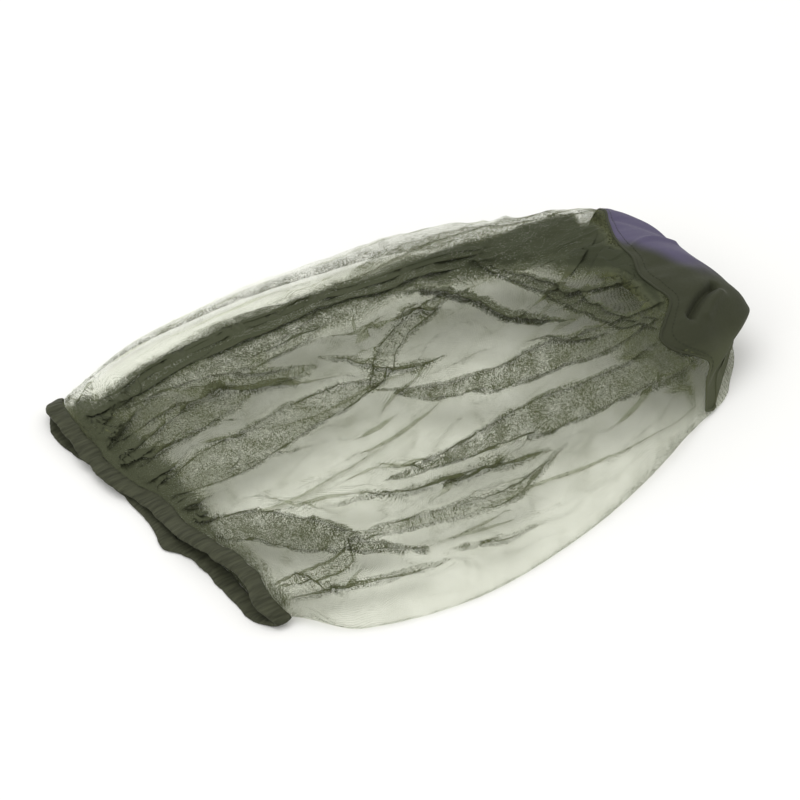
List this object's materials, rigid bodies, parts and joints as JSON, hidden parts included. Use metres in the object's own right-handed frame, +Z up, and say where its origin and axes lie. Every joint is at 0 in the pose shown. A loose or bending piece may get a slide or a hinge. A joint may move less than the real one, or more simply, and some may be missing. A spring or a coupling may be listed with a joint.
{
  "type": "insect-proof head veil",
  "caption": "Fine-mesh head veil lying flat: a crumpled net tube closed by a round woven crown panel, with a gathered elastic neck opening.",
  "frame": {"origin": "on the surface that the veil lies on, under the middle of its bounding box", "axes": "+X along the veil from the neck opening to the crown, +Y across it, +Z up"},
  "size_m": [0.45, 0.3571, 0.0696],
  "materials": {
    "net": "fine polyester mesh, olive green",
    "crown_cloth": "close-woven polyester, dark olive with a faint violet sheen",
    "casing_cloth": "folded and gathered mesh, dark olive",
    "elastic": "braided elastic, matte",
    "thread": "polyester sewing thread"
  },
  "bodies": {
    "root": {"net_sleeve": "net", "sleeve_seam_allowance": "net", "sleeve_seam_stitching": "thread", "crown_panel": "crown_cloth", "crown_seam_allowance": "crown_cloth", "crown_seam_stitching": "thread"},
    "neck_near": {"neck_casing_near": "casing_cloth", "neck_elastic_near": "elastic", "hem_stitching_near": "thread"},
    "neck_far": {"neck_casing_far": "casing_cloth", "neck_elastic_far": "elastic", "hem_stitching_far": "thread", "elastic_bartack": "thread"}
  },
  "joints": [
    {"name": "neck_stretch", "type": "slide", "parent": "root", "child": "neck_near", "axis": [0, -1, 0], "range_m": [0, 0.0865], "stiffness_N_per_m": 30},
    {"name": "neck_stretch_far", "type": "slide", "parent": "root", "child": "neck_far", "axis": [0, 1, 0], "range_m": [0, 0.0865], "stiffness_N_per_m": 30}
  ],
  "couplings": [
    {"joint": "neck_stretch_far", "follows": "neck_stretch", "ratio": 1}
  ]
}
